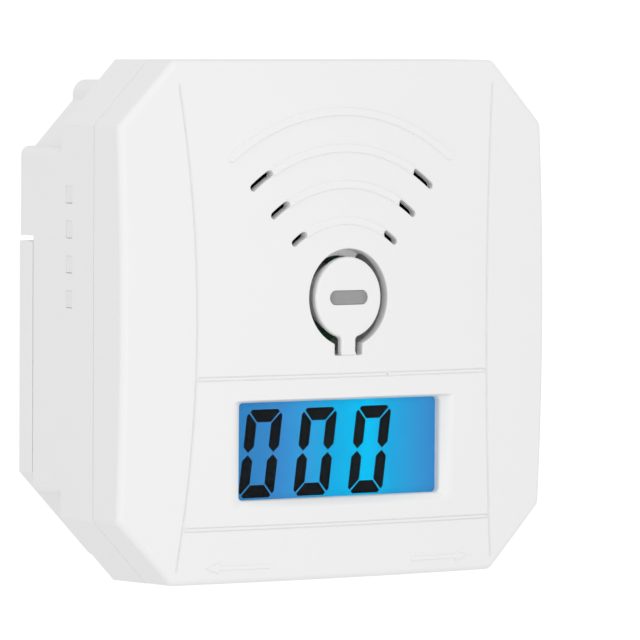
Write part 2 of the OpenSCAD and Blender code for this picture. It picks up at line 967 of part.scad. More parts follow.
module positive_terminal() {
  contact_plate(1, cell_z(3), cell_z(3));
  terminal_tab(1, cell_z(3));
}

// ---- fasteners and screens ----

module shell_screws() {
  color("silver")
    for (b = shell_bosses)
      screw(b[0], b[1], shelf_y + shelf_t + seat_gap, shell_head_r, shell_head_h, shell_shank_r,
            shell_screw_l);
}

module board_screws() {
  color("silver")
    for (p = board_posts)
      screw(p[0], p[1], board_back + seat_gap, board_head_r, board_head_h, board_shank_r, board_screw_l);
}

module vent_screens() {
  low = min(vent_z) - vent_h;
  high = max(vent_z) + vent_h;
  color("dimgray")
    for (side = [-1, 1])
      translate([side * (half_w - wall - screen_gap), vent_y, (low + high) / 2])
        cube([screen_t, screen_w, high - low], center = true);
}

front_cover();
rear_cover();
wall_bracket();
test_button();
indicator_lens();
lcd_window();
lcd_panel();
lcd_light_guide();
inner_frame();
contact_strips();
main_board();
switch_base();
switch_plunger();
led(led_x[0], "red");  // led_red
led(led_x[1], "gold");  // led_yellow
led(led_x[2], "limegreen");  // led_green
co_sensor();
sensor_cap();
sensor_pins();
sensor_gasket();
sounder_case();
sounder_disc();
piezo_element();
microcontroller();
capacitor(capacitors[0]);  // capacitor_1
capacitor(capacitors[1]);  // capacitor_2
inductor();
crystal();
chip_parts();
battery_cell(1);  // battery_cell_1
battery_cell(2);  // battery_cell_2
battery_cell(3);  // battery_cell_3
contact_springs();
negative_terminal();
positive_terminal();
contact_plate(-1, cell_z(3), cell_z(2));  // bridge_left
contact_plate(1, cell_z(2), cell_z(1));  // bridge_right
shell_screws();
board_screws();
vent_screens();
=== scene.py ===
import math
import bpy
import numpy as np
from mathutils import Matrix, Vector
from mathutils.geometry import delaunay_2d_cdt


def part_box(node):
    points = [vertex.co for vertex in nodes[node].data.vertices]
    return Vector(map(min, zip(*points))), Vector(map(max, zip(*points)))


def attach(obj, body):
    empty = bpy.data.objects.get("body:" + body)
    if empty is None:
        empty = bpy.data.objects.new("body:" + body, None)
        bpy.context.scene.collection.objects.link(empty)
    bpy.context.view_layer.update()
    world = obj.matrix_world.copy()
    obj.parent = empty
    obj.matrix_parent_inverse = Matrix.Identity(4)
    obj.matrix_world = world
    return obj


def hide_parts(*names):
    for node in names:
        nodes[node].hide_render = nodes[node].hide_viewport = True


# Looks of a wall-mounted gas alarm. X runs right, Z up, the front faces -Y and the wall is the
# plane Y = 0. Sizes are in millimetres; a mesh is turned into metres as it is filled.
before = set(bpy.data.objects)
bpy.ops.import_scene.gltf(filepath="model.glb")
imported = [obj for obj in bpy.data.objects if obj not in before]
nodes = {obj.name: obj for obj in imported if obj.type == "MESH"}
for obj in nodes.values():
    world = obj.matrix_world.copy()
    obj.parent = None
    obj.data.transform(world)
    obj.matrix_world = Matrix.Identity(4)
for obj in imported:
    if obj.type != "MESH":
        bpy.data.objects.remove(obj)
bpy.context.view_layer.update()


# ---- wall bracket and rear cover ----
# Two mouldings in white plastic: a shallow plate with four hooks, screwed to the wall, and the
# rear half of the body, which hangs on it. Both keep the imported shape; their edges get the small
# rounding that the mould leaves.

def wire(tree, kind, inputs=None, **settings):
    """Adds one node to a tree, with its properties, and its inputs from values or outputs."""
    node = tree.nodes.new("ShaderNode" + kind)
    for key, value in settings.items():
        setattr(node, key, value)
    for key, value in (inputs or {}).items():
        if isinstance(value, bpy.types.NodeSocket):
            tree.links.new(value, node.inputs[key])
        else:
            node.inputs[key].default_value = value
    return node


def feed(tree, node, **sources):
    """Links outputs to a node's inputs, with _ for each space, in place of any link there."""
    for key, source in sources.items():
        tree.links.new(source, node.inputs[key.replace("_", " ")])


def maths(tree, operation, *values):
    """The result of a Math node."""
    return wire(tree, "Math", dict(enumerate(values)), operation=operation).outputs[0]


def here(tree):
    """The place on the piece itself, in metres."""
    return wire(tree, "TexCoord").outputs["Object"]


def noise(tree, scale, detail, place=None):
    """Soft noise between 0 and 1 with scale lumps to the metre, on the piece or a given place."""
    place = here(tree) if place is None else place
    made = wire(tree, "TexNoise", {"Vector": place, "Scale": scale, "Detail": detail})
    return made.outputs["Fac"]


def blended(tree, share, a, b):
    """Colour a where share is 0 and b where it is 1."""
    return wire(tree, "Mix", {0: share, 6: a, 7: b}, data_type="RGBA").outputs[2]


def spread(tree, value, low, high, to_low=0.0, to_high=1.0):
    """Carries a value from one range to another and holds it there."""
    return wire(tree, "MapRange", {
        "Value": value, "From Min": low, "From Max": high, "To Min": to_low, "To Max": to_high,
    }).outputs[0]


def effect(name, inputs):
    """A shader node group with (name, value) inputs, and with outputs for a colour, a roughness
    and a height, still unlinked. Returns the tree, its inputs and its output node."""
    tree = bpy.data.node_groups.new(name, "ShaderNodeTree")
    for label, value in inputs:
        kind = "NodeSocketColor" if hasattr(value, "__len__") else "NodeSocketFloat"
        tree.interface.new_socket(label, in_out="INPUT", socket_type=kind).default_value = value
    for label in ("Color", "Roughness", "Height"):
        kind = "NodeSocketColor" if label == "Color" else "NodeSocketFloat"
        tree.interface.new_socket(label, in_out="OUTPUT", socket_type=kind)
    return tree, tree.nodes.new("NodeGroupInput").outputs, tree.nodes.new("NodeGroupOutput")


# Moulded surface: a faintly cloudy colour, a polish that varies, and a sparked mould's fine grain.
CLOUDS_PER_METRE, SPECKLES_PER_METRE, CLOUD_VALUE = 34.0, 900.0, 0.75
moulded, given, result = effect("moulded_grain", [
    ("Color", (0.8, 0.8, 0.8, 1)), ("Clouding", 0.03), ("Roughness", 0.5), ("Polish", 0.06),
    ("Grain per metre", 2600.0)])
cloud = spread(moulded, noise(moulded, CLOUDS_PER_METRE, 3.0), 0.3, 0.7)
speckle = spread(moulded, noise(moulded, SPECKLES_PER_METRE, 2.0), 0.35, 0.65, -1.0, 1.0)
clouded = maths(moulded, "MULTIPLY", given["Clouding"], cloud)
darker = wire(moulded, "HueSaturation", {"Color": given["Color"], "Value": CLOUD_VALUE}).outputs[0]
feed(moulded, result,
     Color=blended(moulded, clouded, given["Color"], darker),
     Roughness=maths(moulded, "MULTIPLY_ADD", speckle, given["Polish"], given["Roughness"]),
     Height=noise(moulded, given["Grain per metre"], 2.0))


def finish_of(name, bump=0.0, distance=0.00002, **settings):
    """A new material: its Principled shader with plain values, and a Bump node unless bump is 0.
    Returns material, tree, shader and bump."""
    material = bpy.data.materials.new(name)
    material.use_nodes = True
    tree = material.node_tree
    tree.nodes.clear()
    shader = wire(tree, "BsdfPrincipled")
    tree.links.new(shader.outputs[0], tree.nodes.new("ShaderNodeOutputMaterial").inputs[0])
    for key, value in settings.items():
        shader.inputs[key.replace("_", " ")].default_value = value
    raised = None
    if bump:
        raised = wire(tree, "Bump", {"Strength": bump, "Distance": distance})
        feed(tree, shader, Normal=raised.outputs[0])
    return material, tree, shader, raised


def apply(tree, shader, raised, group, values):
    """Places an effect in a material with values of its own. Its colour, roughness and height feed
    the shader and the bump. Returns the effect's outputs."""
    made = wire(tree, "Group", values, node_tree=group).outputs
    feed(tree, shader, Base_Color=made["Color"], Roughness=made["Roughness"])
    feed(tree, raised, Height=made["Height"])
    return made


def plastic(name, color, clouding=0.03, roughness=0.5, polish=0.06, grain=2600.0, bump=0.25,
            **settings):
    """Moulded plastic, from the moulded_grain effect."""
    material, tree, shader, raised = finish_of(name, bump, **settings)
    apply(tree, shader, raised, moulded, {
        "Color": (*color, 1), "Clouding": clouding, "Roughness": roughness, "Polish": polish,
        "Grain per metre": grain})
    return material


def paint(material, *names):
    """Gives CAD nodes this material."""
    for name in names:
        data = nodes[name].data
        data.materials.clear()
        data.materials.append(material)


def modify(piece, kind, **settings):
    """Adds a modifier of this kind to a piece."""
    made = piece.modifiers.new(kind.lower(), kind)
    for key, value in settings.items():
        setattr(made, key, value)


FLAT_ANGLE, SHARP_ANGLE = math.radians(1.0), math.radians(32)


def soften(width, *names):
    """Rounds CAD nodes' edges by width: their loose triangles are welded, flat ones joined, and
    sharp edges rounded."""
    for name in names:
        modify(nodes[name], "WELD", merge_threshold=0.00001)
        modify(nodes[name], "DECIMATE", decimate_type="DISSOLVE", angle_limit=FLAT_ANGLE)
        modify(nodes[name], "BEVEL", width=width / 1000, segments=3, limit_method="ANGLE",
               angle_limit=SHARP_ANGLE, harden_normals=True)


housing_white = plastic("housing_white", (0.87, 0.87, 0.87))
paint(housing_white, "wall_bracket", "rear_cover")
soften(0.25, "wall_bracket")
soften(0.3, "rear_cover")


# ---- batteries and their contacts ----
# Three cells in plastic sleeves lie across the bay, between nickel-plated spring steel contacts:
# a coil spring on each flat end, a plate on each nub, and two bridges that join them in a row.

# Drawn metal: fine streaks along X that vary the polish and the height, and dull patches.
STREAK_STRETCH, PATCHES_PER_METRE = (0.06, 1.0, 1.0), 150.0
drawn, given, result = effect("drawn_metal", [
    ("Color", (0.6, 0.6, 0.6, 1)), ("Roughness", 0.3), ("Streaks per metre", 900.0),
    ("Tarnish", 0.15)])
pulled = wire(drawn, "Mapping", {"Vector": here(drawn), "Scale": STREAK_STRETCH}).outputs[0]
streak = noise(drawn, given["Streaks per metre"], 3.0, pulled)
patch = spread(drawn, noise(drawn, PATCHES_PER_METRE, 4.0), 0.4, 0.75)
dulled = maths(drawn, "MULTIPLY", given["Tarnish"], patch)
darker = wire(drawn, "HueSaturation", {
    "Color": given["Color"], "Value": 0.5, "Saturation": 1.2}).outputs[0]
uneven = spread(drawn, streak, 0.3, 0.7, -0.08, 0.08)
feed(drawn, result,
     Color=blended(drawn, dulled, given["Color"], darker),
     Roughness=maths(drawn, "ADD", uneven, given["Roughness"]),
     Height=streak)


def metal(name, color, roughness=0.3, streaks=900.0, tarnish=0.15):
    """Bare metal, from the drawn_metal effect."""
    material, tree, shader, raised = finish_of(name, 0.15, Metallic=1.0)
    apply(tree, shader, raised, drawn, {
        "Color": (*color, 1), "Roughness": roughness, "Streaks per metre": streaks,
        "Tarnish": tarnish})
    return material


def along(tree, axis, centre=0.0):
    """Distance in metres from a plane across one axis, with its sign."""
    split = wire(tree, "SeparateXYZ", {0: here(tree)})
    return maths(tree, "SUBTRACT", split.outputs[axis], centre / 1000)


def beyond(tree, distance, place, blur):
    """Rises from 0 to 1 as a distance passes a place, within blur to its right. Where blur is
    negative, it rises to its left and is 1 on that side."""
    return spread(tree, distance, place / 1000, (place + blur) / 1000)


SLEEVE_DARK, SLEEVE_COPPER = (0.018, 0.02, 0.024, 1), (0.42, 0.15, 0.05, 1)
CELL_STEEL = (0.6, 0.6, 0.58, 1)
COPPER_LENGTH, NUB_LENGTH, BARE_END = 14.0, 1.5, 0.6


def cell_sleeve(name, nub_right, low, high):
    """A cell's shrunk sleeve, from low to high along X: dark with a coppery band by the nub, and
    bare steel at its ends."""
    material, tree, shader, raised = finish_of(name, 0.2, Coat_Weight=0.35, Coat_Roughness=0.12)
    x = along(tree, "X")
    start = high - COPPER_LENGTH if nub_right else low
    ends = beyond(tree, x, start, 0.2), beyond(tree, x, start + COPPER_LENGTH, -0.2)
    copper = maths(tree, "MULTIPLY", *ends)
    ends = beyond(tree, x, low + BARE_END, -0.1), beyond(tree, x, high - BARE_END, 0.1)
    bare = maths(tree, "MAXIMUM", *ends)
    made = apply(tree, shader, raised, moulded, {
        "Color": blended(tree, copper, SLEEVE_DARK, SLEEVE_COPPER), "Roughness": 0.34,
        "Grain per metre": 700.0})
    feed(tree, shader, Base_Color=blended(tree, bare, made["Color"], CELL_STEEL), Metallic=bare)
    return material


for number in (1, 2, 3):
    low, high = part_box(f"battery_cell_{number}")
    nub_right = number % 2 == 1
    left = low.x * 1000 + (0 if nub_right else NUB_LENGTH)
    right = high.x * 1000 - (NUB_LENGTH if nub_right else 0)
    paint(cell_sleeve(f"cell_sleeve_{number}", nub_right, left, right), f"battery_cell_{number}")
    soften(0.3, f"battery_cell_{number}")
paint(metal("nickel_plate", (0.62, 0.6, 0.56), roughness=0.28), "contact_springs",
      "negative_terminal", "positive_terminal", "bridge_left", "bridge_right")


# ---- circuit board and its small parts ----
# A glass-fibre board under green solder mask carries a push switch, three lamps, a
# microcontroller, a crystal, an inductor, two electrolytic capacitors and a row of small chip
# parts, soldered on.

MASK_GREEN, TRACK_GREEN = (0.01, 0.09, 0.03, 1), (0.03, 0.19, 0.06, 1)
SOLDER = (0.55, 0.55, 0.52, 1)
TRACKS_PER_METRE, PADS_PER_METRE, TRACK_PITCH = 190.0, 330.0, 0.11


def scattered(tree, scale, randomness=1.0, **settings):
    """Distance to the nearest of many scattered points on the piece, scale of them to the metre."""
    inputs = {"Vector": here(tree), "Scale": scale, "Randomness": randomness}
    return wire(tree, "TexVoronoi", inputs, **settings).outputs["Distance"]


def solder_mask(name):
    """Green mask over copper. The distances to the two nearest of many scattered points, measured
    along the axes, differ by whole pitches on lines that run straight and at 45 degrees: these are
    the tracks, and show lighter. Round solder pads show bright."""
    material, tree, shader, raised = finish_of(
        name, 0.5, 0.00004, Coat_Weight=0.5, Coat_Roughness=0.15)
    near, next_near = (scattered(tree, TRACKS_PER_METRE, 0.85, feature=kind, distance="MANHATTAN")
                       for kind in ("F1", "F2"))
    ripple = maths(tree, "PINGPONG", maths(tree, "SUBTRACT", next_near, near), TRACK_PITCH)
    track = spread(tree, ripple, 0.03, 0.045, 1.0, 0.0)
    pad = spread(tree, scattered(tree, PADS_PER_METRE, 0.6), 0.16, 0.2, 1.0, 0.0)
    made = apply(tree, shader, raised, moulded, {
        "Color": blended(tree, track, MASK_GREEN, TRACK_GREEN), "Clouding": 0.3, "Roughness": 0.4})
    feed(tree, shader, Base_Color=blended(tree, pad, made["Color"], SOLDER), Metallic=pad)
    feed(tree, raised, Height=track)
    return material


def two_tone(name, split, one, two, roughness=0.4, metal_beyond=False, **settings):
    """Two finishes that meet at a plane across Y: colour one before it and two beyond it."""
    material, tree, shader, raised = finish_of(name, 0.3, **settings)
    share = spread(tree, along(tree, "Y", split), -0.00005, 0.00005)
    apply(tree, shader, raised, moulded, {
        "Color": blended(tree, share, (*one, 1), (*two, 1)), "Clouding": 0.15,
        "Roughness": roughness, "Grain per metre": 1500.0})
    if metal_beyond:
        feed(tree, shader, Metallic=share)
    return material


paint(solder_mask("solder_mask"), "main_board")
paint(plastic("switch_black", (0.02, 0.02, 0.022), roughness=0.4), "switch_base")
paint(plastic("plunger_black", (0.03, 0.03, 0.032), roughness=0.3, bump=0.1), "switch_plunger")
TINTS = {"red": (0.75, 0.03, 0.02), "yellow": (0.8, 0.5, 0.03), "green": (0.05, 0.55, 0.1)}
for hue, tint in TINTS.items():
    paint(plastic(f"led_{hue}_epoxy", tint, clouding=0.1, roughness=0.12, polish=0.02, bump=0.05,
                  Transmission_Weight=0.4, Coat_Weight=0.6), f"led_{hue}")
paint(plastic("chip_epoxy", (0.025, 0.025, 0.027), roughness=0.55, grain=3500.0, bump=0.5),
      "microcontroller")
CAN_END, CHIP_END = 0.6, 0.2
case_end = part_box("capacitor_1")[1].y * 1000 - CAN_END
paint(two_tone("capacitor_sleeve", case_end, (0.015, 0.03, 0.11), (0.7, 0.7, 0.7), roughness=0.3,
               metal_beyond=True, Coat_Weight=0.3), "capacitor_1", "capacitor_2")
paint(plastic("ferrite", (0.05, 0.045, 0.042), clouding=0.3, roughness=0.6, bump=0.6, grain=1800.0),
      "inductor")
paint(metal("crystal_can", (0.72, 0.7, 0.66), roughness=0.25), "crystal")
chip_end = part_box("chip_parts")[1].y * 1000 - CHIP_END
paint(two_tone("chip_ceramic", chip_end, (0.45, 0.33, 0.2), (0.3, 0.2, 0.12)), "chip_parts")
soften(0.2, "microcontroller", "capacitor_1", "capacitor_2", "inductor", "switch_base")


# ---- gas sensor and sounder ----
# The electrochemical cell is a steel can with a white cap, gold-plated pins and a foam ring against
# the vents' duct. The sounder is a black cup over a brass disc with a ceramic layer.

CELLS_PER_METRE = 2200.0


def foam(name, color):
    """Closed-cell foam: small round cells from a cellular noise dent the surface, and their hollows
    are painted darker, as painted shade.
    """
    material, tree, shader, raised = finish_of(name, 0.9, 0.0002)
    cells = scattered(tree, CELLS_PER_METRE)
    wall = spread(tree, cells, 0.2, 0.7)
    # Painted shade: each cell's hollow is darker, its walls keep the foam's colour.
    feed(tree, shader, Base_Color=blended(tree, wall, (*(c * 0.5 for c in color), 1), (*color, 1)),
         Roughness=spread(tree, cells, 0.2, 0.7, 0.95, 0.75))
    feed(tree, raised, Height=cells)
    return material


paint(metal("can_steel", (0.58, 0.58, 0.57), roughness=0.35, streaks=1400.0), "co_sensor")
paint(plastic("cap_white", (0.8, 0.8, 0.78)), "sensor_cap")
paint(metal("pin_gold", (0.85, 0.6, 0.22), roughness=0.2), "sensor_pins")
paint(foam("seal_foam", (0.06, 0.065, 0.07)), "sensor_gasket")
paint(plastic("sounder_black", (0.022, 0.022, 0.024)), "sounder_case")
paint(metal("sounder_brass", (0.72, 0.5, 0.2), tarnish=0.4), "sounder_disc")
paint(plastic("piezo_ceramic", (0.55, 0.54, 0.5), clouding=0.2, roughness=0.6, bump=0.5),
      "piezo_element")
soften(0.3, "co_sensor", "sensor_cap", "sounder_case")


# ---- display ----
# A liquid-crystal glass over a milky light guide, lit blue from behind, lies in the white inner
# frame behind a clear window. Two elastic strips join it to the board. Its dark digits are
# electrodes in the glass, three plain zeros.

# The middle and the size of its opening, and the backlight's colours by X.
DISPLAY_MID = (0.0, -25.35)
DISPLAY_SIZE = (49.3, 19.1)
GLASS_HALF = 24.7
BACKLIGHT = [
    (-GLASS_HALF, (0.025, 0.21, 0.5)), (-13.0, (0.04, 0.25, 0.6)), (-7.0, (0.032, 0.33, 0.69)),
    (0.0, (0.005, 0.41, 0.77)), (8.3, (0.0, 0.52, 0.89)), (14.0, (0.01, 0.385, 0.735)),
    (GLASS_HALF, (0.042, 0.25, 0.59))]
# The colour that the glass's top and bottom edges fade to: painted shade from the sunk opening.
SHADED_EDGE_BLUE = (0.0, 0.05, 0.14, 1)
glass, tree, shader, _ = finish_of(
    "display_glass", Roughness=0.3, Emission_Strength=1.0, Specular_IOR_Level=0.05)
reach = spread(tree, along(tree, "X"), -GLASS_HALF / 1000, GLASS_HALF / 1000)
ramp = wire(tree, "ValToRGB", {"Fac": reach})
stops = ramp.color_ramp.elements
stops[0].color, stops[1].color = (*BACKLIGHT[0][1], 1), (*BACKLIGHT[-1][1], 1)
for x, color in BACKLIGHT[1:-1]:
    stops.new((x + GLASS_HALF) / (2 * GLASS_HALF)).color = (*color, 1)
# Towards the top and bottom edges the glow is painted darker, as painted shade from the sunk
# opening, and a faint random haze adds to it.
edge = maths(tree, "ABSOLUTE", along(tree, "Z", DISPLAY_MID[1]))
haze = spread(tree, noise(tree, 400.0, 3.0), 0.3, 0.7, 0.0, 0.05)
shade_and_haze = maths(tree, "ADD", spread(tree, edge, 0.0082, 0.0098, 0.0, 0.16), haze)
lit = blended(tree, shade_and_haze, ramp.outputs["Color"], SHADED_EDGE_BLUE)
feed(tree, shader, Emission_Color=lit, Base_Color=blended(tree, 0.95, lit, (0, 0, 0, 1)))
paint(glass, "lcd_panel")

window, tree, shader, raised = finish_of("window_clear", 0.03, Transmission_Weight=1.0, IOR=1.1)
scuff = noise(tree, 120.0, 4.0)
worn = spread(tree, scuff, 0.3, 0.8)
feed(tree, shader, Roughness=spread(tree, scuff, 0.35, 0.75, 0.0, 0.05),
     Base_Color=blended(tree, worn, (1, 1, 1, 1), (0.97, 0.99, 1.0, 1)))
feed(tree, raised, Height=scuff)
paint(window, "lcd_window")
paint(plastic("guide_milky", (0.75, 0.85, 0.92), roughness=0.3, Transmission_Weight=0.3),
      "lcd_light_guide")
paint(plastic("frame_white", (0.85, 0.85, 0.84)), "inner_frame")

# The strips are silicone with a conducting layer every 0.4 mm.
LAYER_HALF = 0.0002
rubber, tree, shader, raised = finish_of("contact_rubber", 0.5, 0.00005)
layer = maths(tree, "PINGPONG", along(tree, "X"), LAYER_HALF)
pink = spread(tree, layer, 0.00008, 0.00012)
feed(tree, shader, Base_Color=blended(tree, pink, (0.02, 0.02, 0.02, 1), (0.5, 0.3, 0.3, 1)),
     Roughness=spread(tree, layer, 0.0, LAYER_HALF, 0.7, 0.85))
feed(tree, raised, Height=layer)
paint(rubber, "contact_strips")


def fill_mesh(name, points, faces, material, corner_normals=None):
    """A mesh object at the origin, in metres, from points in millimetres, a list of faces and
    their corner normals."""
    mesh = bpy.data.meshes.new(name)
    mesh.from_pydata((np.asarray(points) / 1000).tolist(), [], faces)
    if corner_normals is not None:
        mesh.polygons.foreach_set("use_smooth", np.ones(len(mesh.polygons), bool))
        mesh.normals_split_custom_set(np.asarray(corner_normals).tolist())
    mesh.update()
    piece = bpy.data.objects.new(name, mesh)
    bpy.context.scene.collection.objects.link(piece)
    mesh.materials.append(material)
    return piece


def bars_along_y(name, bars, material):
    """One mesh of straight bars along Y. A bar is (outline, near, far), with its outline
    counter-clockwise in X and Z."""
    points, faces, first = [], [], 0
    for outline, near, far in bars:
        n = len(outline)
        i = np.arange(n) + first
        k = np.roll(i, -1)
        points += [np.insert(outline, 1, y, axis=1) for y in (near, far)]
        faces += [i.tolist(), (i[::-1] + n).tolist(), *np.c_[i, i + n, k + n, k].tolist()]
        first += 2 * n
    return fill_mesh(name, np.vstack(points), faces, material)


def digit_segments(width, height, thick, gap, cut, lean):
    """The six outer segments of a seven-segment digit about its middle, which meet at 45 degrees
    and lean to the right by lean times their height. The outer corners are cut off by cut."""
    w, h, t, g, c = width / 2, height / 2, thick, gap / 2, cut / 2
    top = np.array([
        [-w + 2 * c, h], [w - 2 * c, h], [w - c - g, h - c + g], [w - t - g, h - t],
        [-w + t + g, h - t], [-w + c + g, h - c + g]])
    side = np.array([
        [w - c + g, h - c - g], [w, h - 2 * c], [w, t / 2 + g], [w - t / 2, g * 1.6],
        [w - t, t / 2 + g], [w - t, h - t - 2 * g]])
    bars = [top[::-1], top * [1, -1], side[::-1], side * [-1, 1], side * [1, -1],
            (side * [-1, -1])[::-1]]
    return [b + np.c_[lean * b[:, 1], 0 * b[:, 1]] for b in bars]


digit = digit_segments(width=8.6, height=17.3, thick=2.5, gap=0.26, cut=1.2, lean=0.135)
DIGITS_X, DIGITS_Z = (-17.9, -4.5, 8.9), DISPLAY_MID[1] - 0.6
INK_FRONT, INK_BACK = -33.785, -33.757
ink, tree, shader, _ = finish_of("display_ink", Specular_IOR_Level=0.1)
mottle = noise(tree, 700.0, 3.0)
feed(tree, shader, Roughness=spread(tree, mottle, 0.3, 0.7, 0.5, 0.65),
     Base_Color=blended(tree, mottle, (0.002, 0.003, 0.004, 1), (0.004, 0.007, 0.01, 1)))
bars = [(bar + [x, DIGITS_Z], INK_FRONT, INK_BACK) for x in DIGITS_X for bar in digit]
digits = bars_along_y("display_digits", bars, ink)
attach(digits, "housing")


# ---- front cover ----
# One white moulding: a slightly crowned eight-sided front with raised arcs, sound slots, a sunk
# display opening, pressed grooves and arrows, and 2 mm walls back to the seam. Four bosses take the
# shell screws and four posts the board's.

# The body: half its width and height, its cut corners, its wall, the depths of its front and its
# seam, the seam's chamfer, and the rounding of the front edge, the corners and the openings.
HALF = (52.0, 51.1)
CORNER = 12.7
WALL = 2.0
FRONT, SEAM, CHAMFER = -38.87, -25.3, 0.22
EDGE_R, CORNER_R, RIM = 1.3, 1.7, 0.32
# The crown's depth is the distance from the middle, squared, over these: across and along.
CROWN_ACROSS, CROWN_ALONG = 754, 1096
# Arcs: radius, centre's height, half angle and lift; their middle, width and edge's slope. Slots
# lie in the three inner ones, between two angles from straight up.
ARCS = [(44.1, -3.07, 37.2, 0.4), (34.8, -0.94, 29.4, 0.4), (27.3, -0.58, 29.4, 0.38),
        (19.6, 0.03, 29.4, 0.32)]
ARC_X, ARC_W, ARC_SLOPE = -0.75, 1.55, 0.12
SLOT_W, SLOT_FROM, SLOT_TO = 1.35, 31.0, 38.6
# Long grooves: the circle's radius, place at mid height, half width, depth, ends and their fade.
# The two cross grooves: heights, half height, half width, depth and distance to the long ones.
GROOVE_R, GROOVE_X, GROOVE_W, GROOVE_D = 369.0, 35.6, 0.32, 0.58
GROOVE_ENDS, GROOVE_FADE = (-48.7, 46.9), 0.5
CROSS_Z, CROSS_HALF, CROSS_W, CROSS_D, CROSS_INSET = (-10.85, -40.2), 0.36, 0.16, 0.24, 0.55
# The sunk border: depth at its foot, and width at the sides, above and below. Behind it, a flat
# pad at the window's depth reaches PAD past the opening.
DISH_FOOT, DISH_SIDE, DISH_TOP, DISH_LOW = -36.0, 2.9, 0.7, 2.2
WINDOW_Y, PAD, PAD_EDGE = -34.65, 3.0, 0.1
# The button: middle, radius, gap round it, half its tongue's width, and where the tongue begins.
BUTTON, BUTTON_R, BUTTON_GAP = (0.0, 4.45), 8.03, 1.6
TONGUE, ROOT_Z = 1.8, -6.9
# The round mark of an ejector pin on the upper cross groove: place, radius, slope and depth.
PIN, PIN_R, PIN_SLOPE, PIN_D = (9.7, -10.85), 0.16, 0.1, 0.8
# The right arrow's outline from its tip, its tip's place, its lift and its edge's slope.
ARROW = np.array([[0, 0], [-3, 1.05], [-3, 0.4], [-14.8, 0.4], [-14.8, -0.4], [-3, -0.4],
                  [-3, -1.05]])
ARROW_TIP, ARROW_LIFT, ARROW_SLOPE = (32.2, -47.9), 0.3, 0.08
arrows = [ARROW + ARROW_TIP, ((ARROW + ARROW_TIP) * [-1, 1])[::-1]]


def unit(v):
    """Vectors scaled to length one."""
    return v / np.maximum(np.linalg.norm(v, axis=-1, keepdims=True), 1e-12)


def ease(u):
    """Rises smoothly from 0 to 1 as u does: three times its square less twice its cube."""
    u = np.clip(u, 0, 1)
    return u * u * (3 - 2 * u)


def chain(rows, grow=0.0):
    """A closed outline of arcs joined by straight lines, counter-clockwise. A row is (centre x,
    centre z, radius, start and end angle, points on the arc, points on the line after it). Arcs
    that turn left swell by grow, and the others shrink by it. Returns points and outward
    directions."""
    arcs = []
    for cx, cz, r, start, end, count, _ in rows:
        a = np.radians(np.linspace(start, end, count))
        sense = 1.0 if end > start else -1.0
        out = np.c_[np.cos(a), np.sin(a)]
        arcs.append((np.array([cx, cz]) + (r + sense * grow) * out, sense * out))
    points, outs = [], []
    for (p, out), (q, out_q), row in zip(arcs, arcs[1:] + arcs[:1], rows):
        share = np.arange(1, row[6] + 1)[:, None] / (row[6] + 1)
        points += [p, p[-1] + (q[0] - p[-1]) * share]
        outs += [out, out[-1] + (out_q[0] - out[-1]) * share]
    return np.vstack(points), unit(np.vstack(outs))


def octagon(grow):
    """The body's eight-sided outline with rounded corners; grow is negative inside it."""
    r = max(CORNER_R + grow, 0.3)
    inset = r - grow
    x, z = HALF[0] - inset, HALF[1] - inset
    c = CORNER - inset * (2 - math.sqrt(2))
    at = [(x, z - c), (x - c, z), (c - x, z), (-x, z - c), (-x, c - z), (c - x, -z), (x - c, -z),
          (x, c - z)]
    return chain([(px, pz, r, 45 * i, 45 * i + 45, 6, (8, 34)[i % 2])
                  for i, (px, pz) in enumerate(at)])


def band(radius, centre, half, start, end, steps):
    """Rows of a strip of a circle about (ARC_X, centre), between two angles from straight up,
    with round ends."""
    def cap(angle, first):
        t = math.radians(90 - angle)
        x, z = ARC_X + radius * math.cos(t), centre + radius * math.sin(t)
        return x, z, half, first, first + 180, 9, 0
    return [(ARC_X, centre, radius + half, 90 - end, 90 - start, steps, 0), cap(start, 90 - start),
            (ARC_X, centre, radius - half, 90 - start, 90 - end, steps, 0), cap(end, -90 - end)]


def keyhole(radius, half, foot, corner, fillet, steps):
    """Rows of a disc about the button's middle with a straight channel below it: corner rounds the
    channel's foot, and fillet the place where it leaves the disc."""
    cx, cz = BUTTON
    lean = math.degrees(math.asin((half + fillet) / (radius + fillet)))
    z = cz - math.sqrt((radius + fillet) ** 2 - (half + fillet) ** 2)
    return [(cx, cz, radius, -90 + lean, 270 - lean, steps, 0),
            (-half - fillet, z, fillet, 90 - lean, 0, 6, 3),
            (-half + corner, foot + corner, corner, 180, 270, 5, 14),
            (half - corner, foot + corner, corner, 270, 360, 5, 3),
            (half + fillet, z, fillet, 180, 90 + lean, 6, 0)]


def rounded(mid, size, radius, steps=6):
    """Rows of a rectangle with rounded corners."""
    w, h = size[0] / 2 - radius, size[1] / 2 - radius
    lines = [int(size[0] / 1.6), int(size[1] / 1.6)]
    return [(mid[0] + sx * w, mid[1] + sz * h, radius, a, a + 90, steps, lines[i % 2])
            for i, (sx, sz, a) in enumerate([(1, 1, 0), (-1, 1, 90), (-1, -1, 180), (1, -1, 270)])]


def crown(x, z):
    """Depth of the bare front: a shallow bowl turned round, tighter across than along."""
    return FRONT + x * x / CROWN_ACROSS + z * z / CROWN_ALONG


def off_band(x, z, radius, centre, span, half):
    """Distance outside a raised arc's outline, negative on it."""
    angle = np.degrees(np.arctan2(x, z - centre))
    t = np.radians(span)
    tips = np.hypot(np.abs(x) - radius * np.sin(t), z - centre - radius * np.cos(t))
    return np.where(np.abs(angle) <= span, np.abs(np.hypot(x, z - centre) - radius), tips) - half


